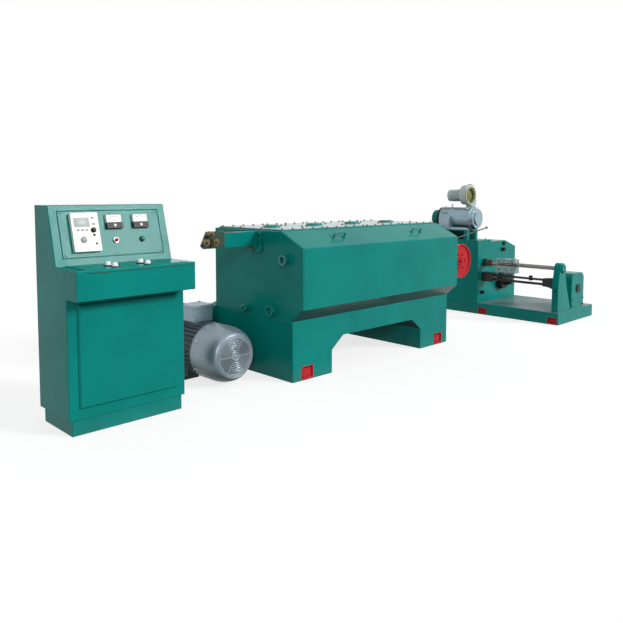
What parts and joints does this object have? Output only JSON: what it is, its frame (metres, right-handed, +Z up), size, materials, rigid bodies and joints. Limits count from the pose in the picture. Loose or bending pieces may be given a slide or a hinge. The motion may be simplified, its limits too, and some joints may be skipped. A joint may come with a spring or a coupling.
{
  "type": "wire drawing line",
  "caption": "Wire drawing line: a control console, a belt-driven drawing machine on an arched bed with guide rollers and a capstan, and a motor-driven bobbin take-up with a traverse.",
  "frame": {"origin": "on the floor, under the middle of the line's length and depth", "axes": "+X along the wire from the console to the take-up, +Y from the operator's side to the back, +Z up"},
  "size_m": [6.05, 1.69, 1.519],
  "materials": {
    "teal_paint": "gloss enamel",
    "red_paint": "gloss enamel",
    "motor_paint": "satin enamel",
    "blower_paint": "satin enamel",
    "bright_steel": "ground",
    "dark_steel": "oiled",
    "bronze": "machined",
    "white_plastic": "moulded",
    "black_plastic": "moulded",
    "red_lens": "clear moulded",
    "green_lens": "clear moulded"
  },
  "bodies": {
    "line": {"console_plinth": "teal_paint", "console_cabinet": "teal_paint", "console_front_panel": "teal_paint", "console_desk": "teal_paint", "desk_button_plate": "teal_paint", "instrument_panel": "teal_paint", "main_bed": "teal_paint", "gearbox_housing": "teal_paint", "drawing_chamber": "teal_paint", "front_cover": "teal_paint", "top_lids": "teal_paint", "inlet_bracket": "teal_paint", "pipe_unions": "teal_paint", "capstan_housing": "teal_paint", "main_belt_guard": "teal_paint", "takeup_bed": "teal_paint", "takeup_cabinet": "teal_paint", "tailstock_housing": "teal_paint", "traverse_bracket": "teal_paint", "takeup_motor_stand": "teal_paint", "takeup_belt_guard": "teal_paint", "lift_handles": "teal_paint", "main_anchor_boxes": "red_paint", "takeup_anchor_boxes": "red_paint", "motor_frame": "motor_paint", "motor_fan_cowl": "motor_paint", "motor_terminal_box": "motor_paint", "takeup_motor": "motor_paint", "takeup_terminal_box": "motor_paint", "blower_motor": "motor_paint", "blower_casing": "blower_paint", "traverse_shaft": "bright_steel", "inlet_roller_plate": "dark_steel", "traverse_rods": "dark_steel", "traverse_bearing": "dark_steel", "traverse_gearbox": "dark_steel", "spindle_bearing_cap": "dark_steel", "tail_center": "dark_steel", "traverse_stops": "bronze", "drive_controller": "white_plastic", "meter_faces": "white_plastic", "desk_buttons": "white_plastic", "meter_bezels": "black_plastic", "stop_lamp": "red_lens", "run_lamp": "green_lens"},
    "middle_roller": {"inlet_roller_middle": "bright_steel"},
    "inner_roller": {"inlet_roller_inner": "bright_steel"},
    "outer_roller": {"inlet_roller_outer": "bright_steel"},
    "capstan": {"finishing_capstan": "red_paint"},
    "spindle": {"drive_spindle": "dark_steel"},
    "carriage": {"traverse_carriage": "bright_steel"}
  },
  "joints": [
    {"name": "middle_roller_spin", "type": "hinge", "parent": "line", "child": "middle_roller", "pos_m": [-1.819, -0.071, 1.114], "axis": [0, 1, 0], "continuous": true},
    {"name": "inner_roller_spin", "type": "hinge", "parent": "line", "child": "inner_roller", "pos_m": [-1.778, -0.071, 1.057], "axis": [0, 1, 0], "continuous": true},
    {"name": "outer_roller_spin", "type": "hinge", "parent": "line", "child": "outer_roller", "pos_m": [-1.86, -0.071, 1.057], "axis": [0, 1, 0], "continuous": true},
    {"name": "capstan_spin", "type": "hinge", "parent": "line", "child": "capstan", "pos_m": [0.9, -0.4, 0.756], "axis": [0, 1, 0], "continuous": true},
    {"name": "spindle_spin", "type": "hinge", "parent": "line", "child": "spindle", "pos_m": [2.665, 0.075, 0.35], "axis": [0, 1, 0], "continuous": true},
    {"name": "traverse_slide", "type": "slide", "parent": "line", "child": "carriage", "axis": [0, 1, 0], "range_m": [-0.38, 0.07]}
  ]
}
